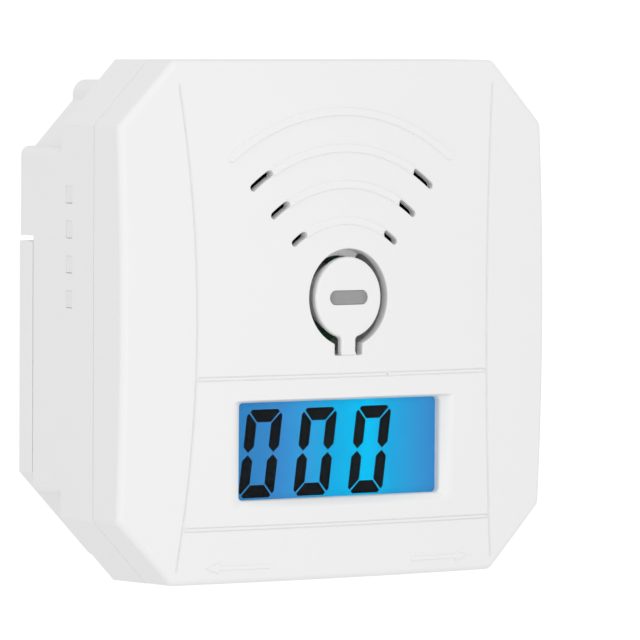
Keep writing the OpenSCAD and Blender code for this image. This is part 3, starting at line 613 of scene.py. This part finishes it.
def off_polygon(x, z, corners):
    """Distance outside a polygon, negative in it: the least distance to an edge, with its sign from
    counting crossings."""
    a, b = corners, np.roll(corners, -1, axis=0)
    p = np.stack([x, z], -1)[..., None, :]
    length = np.maximum(((b - a) ** 2).sum(-1), 1e-12)
    share = np.clip(((p - a) * (b - a)).sum(-1) / length, 0, 1)[..., None]
    far = np.linalg.norm(p - a - share * (b - a), axis=-1).min(-1)
    px, pz = p[..., 0], p[..., 1]
    rise = np.where(a[:, 1] == b[:, 1], 1e9, b[:, 1] - a[:, 1])
    cut = a[:, 0] + (pz - a[:, 1]) / rise * (b[:, 0] - a[:, 0])
    crossed = ((a[:, 1] > pz) != (b[:, 1] > pz)) & (px < cut)
    return np.where(crossed.sum(-1) % 2 == 1, -far, far)


def mitred(corners, grow):
    """A counter-clockwise polygon with each edge moved outwards by grow."""
    step = unit(np.roll(corners, -1, axis=0) - corners)
    out = np.c_[step[:, 1], -step[:, 0]]
    before = np.roll(out, 1, axis=0)
    return corners + grow * (out + before) / (1 + (out * before).sum(1, keepdims=True))


def groove_x(z):
    """Half the distance between the two long grooves at a height: each is part of a wide circle."""
    return GROOVE_X + GROOVE_R - np.sqrt(GROOVE_R ** 2 - z * z)


def front(x, z):
    """Depth of the finished front: the crown, sunk towards the display by a quarter sine, plus arcs
    and arrows, less grooves and the pin mark, each with an eased edge."""
    dz = z - DISPLAY_MID[1]
    out_x = np.maximum(np.abs(x - DISPLAY_MID[0]) - DISPLAY_SIZE[0] / 2, 0) / DISH_SIDE
    out_z = np.maximum(np.abs(dz) - DISPLAY_SIZE[1] / 2, 0) / np.where(dz > 0, DISH_TOP, DISH_LOW)
    raised = np.sin(np.pi / 2 * np.minimum(np.hypot(out_x, out_z), 1))
    y = DISH_FOOT + (crown(x, z) - DISH_FOOT) * raised
    for radius, centre, span, lift in ARCS:
        d = off_band(x - ARC_X, z, radius, centre, span, ARC_W / 2)
        y = y - lift * ease((ARC_SLOPE - d) / (2 * ARC_SLOPE))
    for arrow in arrows:
        d = off_polygon(x, z, arrow)
        y = y - ARROW_LIFT * ease((ARROW_SLOPE - d) / (2 * ARROW_SLOPE))
    d = np.abs(np.hypot(np.abs(x) - GROOVE_X - GROOVE_R, z) - GROOVE_R)
    ends = ease((z - GROOVE_ENDS[0]) / GROOVE_FADE) * ease((GROOVE_ENDS[1] - z) / GROOVE_FADE)
    y = y + GROOVE_D * ends * (1 - ease(d / GROOVE_W))
    for cross in CROSS_Z:
        beside = np.abs(x) - groove_x(cross) + CROSS_INSET
        d = np.abs(np.maximum(beside, np.abs(z - cross) - CROSS_HALF))
        y = y + CROSS_D * (1 - ease(d / CROSS_W))
    return y + PIN_D * (1 - ease((np.hypot(x - PIN[0], z - PIN[1]) - PIN_R) / PIN_SLOPE))


def lining(x, z):
    """Depth of the cover's inside: the crown moved back by the wall, and a flat pad round the
    display opening."""
    pad = np.maximum(np.abs(x - DISPLAY_MID[0]) - DISPLAY_SIZE[0] / 2,
                     np.abs(z - DISPLAY_MID[1]) - DISPLAY_SIZE[1] / 2)
    return np.maximum(crown(x, z) + WALL, WINDOW_Y - 6 * ease((pad - PAD) / PAD_EDGE))


def slopes(surface, x, z):
    """Unit normals, towards the front, of a depth function, from its steps over a few
    micrometres."""
    e = 0.004
    dx = (surface(x + e, z) - surface(x - e, z)) / (2 * e)
    dz = (surface(x, z + e) - surface(x, z - e)) / (2 * e)
    return unit(np.c_[dx, -np.ones_like(dx), dz])


def within(points, loop):
    """Which points lie in a closed outline."""
    found = np.zeros(len(points), bool)
    near = np.flatnonzero(((points > loop.min(0)) & (points < loop.max(0))).all(1))
    for part in np.array_split(near, len(near) // 4000 + 1):
        found[part] = off_polygon(points[part, 0], points[part, 1], loop) < 0
    return found


# Rows at 0.87 of a step make even triangles. The filling grid keeps in a little from the outline,
# and slivers on the outline are dropped. A corner's normal is read a little inside its triangle.
EVEN_ROWS, GRID_SHARE, KEEP_SHARE, CORNER_PULL = 0.87, 0.985, 0.99999, 0.04


def skin(surface, outer, holes, loops=(), lines=(), facing=1, step=2.6):
    """A sheet over an outline with holes: the outline, the holes and every given loop and line
    become edges of a Delaunay triangulation with a filling grid, and each point is lifted to
    surface. Facing 1 looks to the front, -1 to the back."""
    low, high = outer.min(0), outer.max(0)
    gx, gz = np.meshgrid(np.arange(low[0], high[0], step),
                         np.arange(low[1], high[1], step * EVEN_ROWS))
    gx = gx + (np.arange(len(gz)) % 2)[:, None] * step / 2
    grid = np.c_[gx.ravel(), gz.ravel()]
    grid = grid[within(grid, outer * GRID_SHARE)]
    for hole in holes:
        grid = grid[~within(grid, hole)]
    sets, edges, first = [], [], 0
    for path, closed in [(p, 1) for p in (outer, *holes, *loops)] + [(p, 0) for p in lines]:
        i = np.arange(len(path) - 1 + closed)
        edges.append(np.c_[i, (i + 1) % len(path)] + first)
        sets.append(path)
        first += len(path)
    flat = np.vstack([*sets, grid])
    made = delaunay_2d_cdt([Vector(p) for p in flat.tolist()], np.vstack(edges).tolist(), [], 0,
                           1e-5)
    points = np.array([tuple(p) for p in made[0]])
    source = np.array([come[0] if come else -1 for come in made[3]])
    points[source >= 0] = flat[source[source >= 0]]
    tris = np.array(made[2])
    middle = points[tris].mean(1)
    keep = within(middle, outer * KEEP_SHARE)
    for hole in holes:
        keep &= ~within(middle, hole)
    tris = tris[keep]
    corners = points[tris]
    pulled = corners + (corners.mean(1, keepdims=True) - corners) * CORNER_PULL
    normals = facing * slopes(surface, *pulled.reshape(-1, 2).T).reshape(-1, 3, 3)
    if facing < 0:
        tris, normals = tris[:, ::-1], normals[:, ::-1]
    return np.c_[points[:, 0], surface(points[:, 0], points[:, 1]), points[:, 1]], tris, normals


def grown(outline, grow, weight=None):
    """An outline moved outwards by grow, times a weight at each point if given, and its outward
    directions."""
    if weight is None:
        return outline(grow)
    points, out = outline(0.0)
    return points + out * (grow * weight)[:, None], out


def strip(ring_points, ring_normals, flip=False):
    """Quads between rings of equal length, as points, faces and corner normals."""
    m, n = len(ring_points), len(ring_points[0])
    points, normals = np.vstack(ring_points), np.vstack(ring_normals)
    i, j = np.meshgrid(np.arange(m - 1), np.arange(n), indexing="ij")
    k = (j + 1) % n
    faces = np.stack([i * n + j, (i + 1) * n + j, (i + 1) * n + k, i * n + k], -1).reshape(-1, 4)
    if flip:
        faces = faces[:, ::-1]
    return points, faces, normals[faces]


def walls(outline, rows, weight=None, hole=False):
    """Rings carried round an outline and joined into a strip. A row is (offset, depth, surface,
    tilt): the ring lies offset outside the outline and depth behind the surface, or at a plain
    depth where surface is None. Its normals tilt from the front's at 0, through the side at 90, to
    the back at 180 and the inside at 270."""
    ring_points, ring_normals = [], []
    for offset, depth, surface, tilt in rows:
        p, out = grown(outline, offset, weight)
        x, z = p.T
        share = 1.0 if weight is None else weight
        y = np.full(len(p), depth) if surface is None else surface(x, z) + depth * share
        ahead = np.tile([0.0, -1.0, 0.0], (len(p), 1))
        n = slopes(surface, x, z) if surface and tilt < 90 else ahead
        side = np.c_[out[:, 0], 0 * y, out[:, 1]] * (-1 if hole else 1)
        t = math.radians(tilt)
        ring_points.append(np.c_[x, y, z])
        ring_normals.append(unit(math.cos(t) * n + math.sin(t) * side))
    return strip(ring_points, ring_normals, hole)


def rounding(radius, surface, sense, count=6):
    """Rows of a quarter round from the surface to the side wall; at sense -1 it starts inside."""
    a = np.radians(np.linspace(0, 90, count))
    offset, depth = sense * radius * (1 - np.sin(a)), radius * (1 - np.cos(a))
    return list(zip(offset, depth, [surface] * count, np.degrees(a)))


def lathe(x, z, profile, steps=28):
    """A closed shape turned about a line along Y. The profile's rows are (radius, depth), ordered
    so that its left is inside."""
    turn = np.radians(np.arange(steps) * 360 / steps)
    c, s = np.cos(turn), np.sin(turn)
    made = []
    for (r0, y0), (r1, y1) in zip(profile, profile[1:] + profile[:1]):
        across, deep = np.array([y1 - y0, r0 - r1]) / math.hypot(r1 - r0, y1 - y0)
        rings = [np.c_[x + r * c, np.full(steps, y), z + r * s] for r, y in ((r0, y0), (r1, y1))]
        normal = np.c_[across * c, np.full(steps, deep), across * s]
        made.append(strip(rings, [normal, normal]))
    return made


def bent_bar(mid, profile, angles):
    """A bar bent round a line along Y, with flat ends. The profile's rows are (radius, depth), from
    the outer back corner to the outer front one and on round."""
    corners = np.array(profile)
    step = unit(np.roll(corners, -1, axis=0) - corners)
    out = np.c_[-step[:, 1], step[:, 0]]
    r, y = np.repeat(corners, 2, axis=0).T
    nr, ny = np.c_[np.roll(out, 1, axis=0), out].reshape(-1, 2).T
    turns = list(zip(np.cos(angles), np.sin(angles)))
    rings = [np.c_[mid[0] + r * c, y, mid[1] + r * s] for c, s in turns]
    made = [strip(rings, [np.c_[nr * c, ny, nr * s] for c, s in turns])]
    loop = np.arange(0, len(r), 2)[None]
    for end, order, sense in ((0, loop, 1), (-1, loop[:, ::-1], -1)):
        away = sense * np.array([turns[end][1], 0.0, -turns[end][0]])
        made.append((rings[end], order, np.tile(away, (1, len(corners), 1))))
    return made


def shell(name, parts, material):
    """Joins parts into one mesh with their corner normals: points that agree to a tenth of a
    micrometre become one, and so do corners of a face, which vanishes if less than three are
    left."""
    points = np.round(np.vstack([p for p, _, _ in parts]), 4)
    _, index, inverse = np.unique(points, axis=0, return_index=True, return_inverse=True)
    inverse = inverse.ravel()
    faces, normals, first = [], [], 0
    for p, f, n in parts:
        f = inverse[f + first]
        fresh = f != np.roll(f, 1, axis=1)
        distinct = 1 + (np.diff(np.sort(f, axis=1), axis=1) != 0).sum(1)
        for size in range(3, f.shape[1] + 1):
            kept = (fresh.sum(1) == size) & (distinct == size)
            faces += f[kept][fresh[kept]].reshape(-1, size).tolist()
            normals.append(n[kept][fresh[kept]])
        first += len(p)
    return fill_mesh(name, points[index], faces, material, np.vstack(normals))


def dish_ring(share):
    """An outline on the sunk border, a share of the way from its inner edge to its outer one: a
    quarter oval at each corner, joined by straight lines."""
    a = np.radians(np.linspace(0, 90, 9))
    w, h = DISPLAY_SIZE[0] / 2, DISPLAY_SIZE[1] / 2
    inner = (1 - share) * (RIM + 0.06)
    quarters = []
    for sx, sz, turn in ((1, 1, 1), (-1, 1, -1), (-1, -1, 1), (1, -1, -1)):
        tall = DISH_TOP if sz > 0 else DISH_LOW
        x = w + (DISH_SIDE * share + inner) * np.cos(a)
        z = h + (tall * share + inner) * np.sin(a)
        quarters.append(np.c_[sx * x, DISPLAY_MID[1] + sz * z][::turn])
    loop = []
    for q, following in zip(quarters, quarters[1:] + quarters[:1]):
        n = int(np.linalg.norm(following[0] - q[-1]) / 1.8)
        loop += [q, q[-1] + (following[0] - q[-1]) * np.arange(1, n)[:, None] / n]
    return np.vstack(loop)


def outline_of(rows):
    """An outline as a function of how far it is moved outwards."""
    return lambda grow: chain(rows, grow)


def clear_runs(path, blocks):
    """The stretches of a closed path outside every block, as open lines, or None if it meets no
    block."""
    hit = np.any([within(path, block) for block in blocks], axis=0)
    if not hit.any():
        return None
    turn = -np.flatnonzero(hit)[0]
    path, hit = np.roll(path, turn, axis=0), np.roll(hit, turn)
    clear = np.flatnonzero(~hit)
    runs = np.split(path[clear], np.flatnonzero(np.diff(clear) > 1) + 1)
    return [run for run in runs if len(run) > 1]


# The openings, each with a weight that leaves its rim square where the tongue's root is.
slots = [outline_of(band(radius, centre, SLOT_W / 2, *ends, 9)) for radius, centre, _, _ in ARCS[1:]
         for ends in ((SLOT_FROM, SLOT_TO), (-SLOT_TO, -SLOT_FROM))]
ring_gap = outline_of(keyhole(BUTTON_R + BUTTON_GAP, TONGUE + BUTTON_GAP, ROOT_Z, 0.4, 0.5, 90))
display = outline_of(rounded(DISPLAY_MID, DISPLAY_SIZE, 0.9))
ring_line = ring_gap(0.0)[0]
at_root = np.abs(ring_line[:, 1] - ROOT_Z) < 0.01
root_weight = np.where(at_root, ease((np.abs(ring_line[:, 0]) - TONGUE + 0.1) / 0.5), 1.0)
openings = [(s, None) for s in slots] + [(ring_gap, root_weight), (display, None)]

# Lines along each relief's edges, for the mesh to follow. The arcs' stop short of the slots.
blocks = [s(RIM + ARC_SLOPE)[0] for s in slots]
relief, cut_relief = [], []
for radius, centre, span, _ in ARCS:
    for grow in (-ARC_SLOPE, -ARC_SLOPE / 3, ARC_SLOPE / 3, ARC_SLOPE):
        path = chain(band(radius, centre, ARC_W / 2, -span, span, 60), grow)[0]
        runs = clear_runs(path, blocks)
        cut_relief += runs or []
        relief += [] if runs else [path]
relief += [mitred(arrow[::-1], grow)
           for arrow in arrows for grow in (-ARROW_SLOPE, 0.0, ARROW_SLOPE)]
relief += [dish_ring(share) for share in (0.0, 0.15, 0.3, 0.45, 0.6, 0.8, 1.0)]
for cross in CROSS_Z:
    for grow in (-CROSS_W, 0.0, CROSS_W):
        xs = np.linspace(-1, 1, 36) * (groove_x(cross) - CROSS_INSET + grow)
        zs = np.full(36, CROSS_HALF + grow)
        relief.append(np.r_[np.c_[xs, cross - zs], np.c_[xs[::-1], cross + zs]])
relief += [chain([(*PIN, r, 0, 330, 12, 0)])[0] for r in (PIN_R, PIN_R + PIN_SLOPE)]
heights = np.linspace(*GROOVE_ENDS, 70)
grooves = [np.c_[side * (groove_x(heights) + shift * GROOVE_W), heights]
           for side in (-1, 1) for shift in (-1, -0.5, 0, 0.5, 1)]

# The front, the wall to the seam and forward again inside, the openings' walls and the lining.
face_holes = [grown(outline, RIM, weight)[0] for outline, weight in openings]
lining_holes = [outline(0.0)[0] for outline, _ in openings]
pad_edges = [chain(rounded(DISPLAY_MID, np.add(DISPLAY_SIZE, 2 * (PAD + more)), 0.3 + more, 3))[0]
             for more in (0.0, PAD_EDGE)]
parts = [skin(front, octagon(-EDGE_R)[0], face_holes, relief, cut_relief + grooves),
         walls(octagon, rounding(EDGE_R, front, -1, 8) + [
             (0.0, SEAM - CHAMFER, None, 90), (0.0, SEAM - CHAMFER, None, 135),
             (-CHAMFER, SEAM, None, 135), (-CHAMFER, SEAM, None, 180), (-WALL, SEAM, None, 180),
             (-WALL, SEAM, None, 270), (-WALL, 0.0, lining, 270)])]
for outline, weight in openings:
    rows = rounding(RIM, front, 1) + [(0.0, 0.0, lining, 90)]
    parts.append(walls(outline, rows, weight, hole=True))
parts.append(skin(lining, octagon(-WALL)[0], lining_holes, pad_edges, facing=-1, step=5))

# Bosses for the shell screws and posts for the board's: place, back end, radius, bore and its foot.
BOSSES = [(x, z, -22.95, 3.2, 1.3, -32.9) for x, z in ((-40, 28), (40, 28), (-41, -31), (41, -31))]
POSTS = [(x, z, -25.25, 2.6, 1.05, -32.2) for x in (-31, 31) for z in (38, -7.6)]
BOSS_SUNK, BOSS_CHAMFER = 1.0, 0.3
for x, z, back, outer, bore, foot in BOSSES + POSTS:
    top = crown(x, z) + BOSS_SUNK
    parts += lathe(x, z, [
        (0.0, top), (outer, top), (outer, back - BOSS_CHAMFER), (outer - BOSS_CHAMFER, back),
        (bore, back), (bore, foot), (0.0, foot)])

# A rib behind the upper part of the gap round the button keeps light in, from 60 to 155 degrees.
SHADE_RIB = [
    (10.5, -34.3), (10.5, -36.86), (9.7, -36.86), (9.7, -34.8), (8.2, -34.8), (8.2, -34.3)]
parts += bent_bar(BUTTON, SHADE_RIB, np.radians(np.linspace(60, 155, 40)))
cover = shell("cover_front", parts, housing_white)
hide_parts("front_cover")
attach(cover, "housing")


# ---- test button ----
# The button is moulded with the front cover, from which it hangs on a thin flexing tongue. It has a
# skirt at its rim, a slot for its lens, and a post behind that presses the switch.

# Its wall, the rounding of its rim and slot, the gap at its root, and its lens's size. The skirt's
# and the post's outlines are (radius, depth).
BUTTON_WALL, BUTTON_RIM, SLOT_RIM, ROOT_GAP = 1.3, 0.6, 0.2, 0.045
LENS = (9.26, 2.8)
SKIRT = [
    (6.03, -37.9), (7.0, -37.9), (7.0, -34.87), (6.8, -34.67), (6.23, -34.67), (6.03, -34.87)]
POST = [(0.0, -37.9), (1.5, -37.9), (1.5, -29.0), (1.25, -28.75), (0.0, -28.75)]
POST_PLACE = (0.0, 9.4)
disc = outline_of(keyhole(BUTTON_R, TONGUE, ROOT_Z + ROOT_GAP, 0.05, 0.8, 90))
lens_slot = outline_of(rounded(BUTTON, LENS, LENS[1] / 2 - 0.01, 9))
disc_line = disc(0.0)[0]
disc_weight = ease((disc_line[:, 1] - ROOT_Z - 0.1) / 0.5)


def button_back(x, z):
    """Depth of the button's back: the crown moved back by the button's own, thinner wall."""
    return crown(x, z) + BUTTON_WALL


to_back = [(0.0, 0.0, button_back, 90)]
parts = [skin(front, grown(disc, -BUTTON_RIM, disc_weight)[0], [lens_slot(SLOT_RIM)[0]], step=1.4),
         walls(disc, rounding(BUTTON_RIM, front, -1) + to_back, disc_weight),
         walls(lens_slot, rounding(SLOT_RIM, front, 1, 4) + to_back, hole=True),
         skin(button_back, disc(0.0)[0], [lens_slot(0.0)[0]], facing=-1, step=2.4)]
parts += lathe(*BUTTON, SKIRT, 90) + lathe(*POST_PLACE, POST)
button = shell("button_moulding", parts, housing_white)
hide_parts("test_button")
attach(button, "button")


# ---- indicator lens ----
# A grey translucent window with a polished front, pressed into the button. Lamps on the board
# shine through it, and its middle is a little lighter.

LENS_MIDDLE, LENS_END = (0.36, 0.36, 0.365, 1), (0.27, 0.27, 0.275, 1)
lens_grey, tree, shader, raised = finish_of(
    "lens_grey", 0.06, Coat_Weight=0.5, Coat_Roughness=0.1, Transmission_Weight=0.15)
outwards = spread(tree, maths(tree, "ABSOLUTE", along(tree, "X")), 0.0030, 0.0046)
apply(tree, shader, raised, moulded, {
    "Color": blended(tree, outwards, LENS_MIDDLE, LENS_END), "Roughness": 0.22})
paint(lens_grey, "indicator_lens")
soften(0.12, "indicator_lens")


# ---- screws and vent screens ----
# Eight cross-head screws hold the two shells and the board. A strip of white nylon mesh behind
# each side's vents keeps insects out. It is pressed into each vent, as a pad that leans back
# towards its foot.

# The strip's and a pad's outlines, their near and far depths, and the vents' heights.
STRIP = np.array([[49.65, 1.0], [49.95, 1.0], [49.95, 28.2], [49.65, 28.2]])
MESH_PAD = np.array([[49.9, -1.61], [51.78, -1.61], [51.9, 1.68], [49.9, 1.68]])
STRIP_Y, MESH_PAD_Y = (-19.5, -14.5), (-18.08, -15.92)
VENTS_Z = (24.8, 18.0, 11.2, 4.4)
THREAD_HALF = 0.00018
paint(metal("screw_zinc", (0.55, 0.56, 0.58), roughness=0.32, tarnish=0.25), "shell_screws",
      "board_screws")
screen, tree, shader, raised = finish_of("vent_mesh", 0.3, 0.00005)
threads = [maths(tree, "PINGPONG", along(tree, axis), THREAD_HALF) for axis in "YZ"]
thread = spread(tree, maths(tree, "MINIMUM", *threads), 0.00006, 0.0001, 1.0, 0.0)
feed(tree, shader, Roughness=spread(tree, thread, 0.0, 1.0, 0.8, 0.5),
     Base_Color=blended(tree, thread, (0.75, 0.75, 0.75, 1), (0.9, 0.9, 0.9, 1)))
feed(tree, raised, Height=thread)
bars = [(STRIP, *STRIP_Y)] + [(MESH_PAD + [0, z], *MESH_PAD_Y) for z in VENTS_Z]
bars += [((outline * [-1, 1])[::-1], near_y, far_y) for outline, near_y, far_y in bars]
vents = bars_along_y("vent_mesh_strips", bars, screen)
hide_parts("vent_screens")
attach(vents, "housing")


# ---- studio ----
# A pale floor a little below the alarm, a white surround, four broad soft lamps to the left of it,
# above it and before it, and a camera with a very long lens.

FLOOR_Z, FLOOR_HALF, FLOOR_CELLS = -160.0, 700.0, 24
gx, gy = np.meshgrid(*[np.linspace(-FLOOR_HALF, FLOOR_HALF, FLOOR_CELLS + 1)] * 2)
i, j = np.meshgrid(np.arange(FLOOR_CELLS), np.arange(FLOOR_CELLS), indexing="ij")
corner = (i * (FLOOR_CELLS + 1) + j).ravel()
beside = corner + FLOOR_CELLS + 1
floor_faces = np.c_[corner, corner + 1, beside + 1, beside].tolist()
floor_points = np.c_[gx.ravel(), gy.ravel(), np.full(gx.size, FLOOR_Z)]
paper = plastic("floor_paper", (0.93, 0.93, 0.93), 0.02, roughness=0.8, grain=500.0, bump=0.1)
floor = fill_mesh("studio_floor", floor_points, floor_faces, paper)

scene = bpy.context.scene
scene.view_settings.view_transform = "Standard"
world = bpy.data.worlds.new("studio")
world.use_nodes = True
scene.world = world
tree = world.node_tree
tree.nodes.clear()
# The surround lights the alarm at one strength and is seen at another.
seen = wire(tree, "LightPath").outputs["Is Camera Ray"]
ambient, backdrop = (wire(tree, "Background", {"Color": (1, 1, 1, 1), "Strength": strength})
                     for strength in (0.75, 1.05))
mixed = wire(tree, "MixShader", {0: seen, 1: ambient.outputs[0], 2: backdrop.outputs[0]}).outputs[0]
tree.links.new(mixed, tree.nodes.new("ShaderNodeOutputWorld").inputs[0])

# Square area lamps turned to the alarm: place and size in metres, and power in watts.
LAMPS = {"key_light": ((-0.25, -1.35, 1.2), 1.3, 2.4), "side_light": ((-1.6, -0.5, 0.1), 1.0, 2.9),
         "top_light": ((0.0, -0.1, 1.6), 1.0, 2.2), "fill_light": ((-0.2, -1.6, 0.0), 0.6, 3.4)}
for name, (place, size, power) in LAMPS.items():
    data = bpy.data.lights.new(name, "AREA")
    data.size = size
    data.energy = power
    light = bpy.data.objects.new(name, data)
    scene.collection.objects.link(light)
    light.location = place
    light.rotation_euler = (-Vector(place)).to_track_quat("-Z", "Y").to_euler()

# The camera's place in metres, and its turn, whose columns are its right, its top and its back.
CAMERA_PLACE = (-0.8454391739, -1.1595057305, 0.0610509969)
CAMERA_TURN = Matrix(((0.80088129, 0.02236549, -0.59840533),
                      (-0.59880578, 0.03752195, -0.80001484),
                      (0.00456061, 0.99904549, 0.04344322)))
camera = bpy.data.objects.new("camera", bpy.data.cameras.new("camera"))
scene.collection.objects.link(camera)
camera.data.sensor_width = 36.0
camera.data.lens = 401.80788
camera.data.clip_start = 0.05
camera.matrix_world = Matrix.Translation(CAMERA_PLACE) @ CAMERA_TURN.to_4x4()
scene.camera = camera
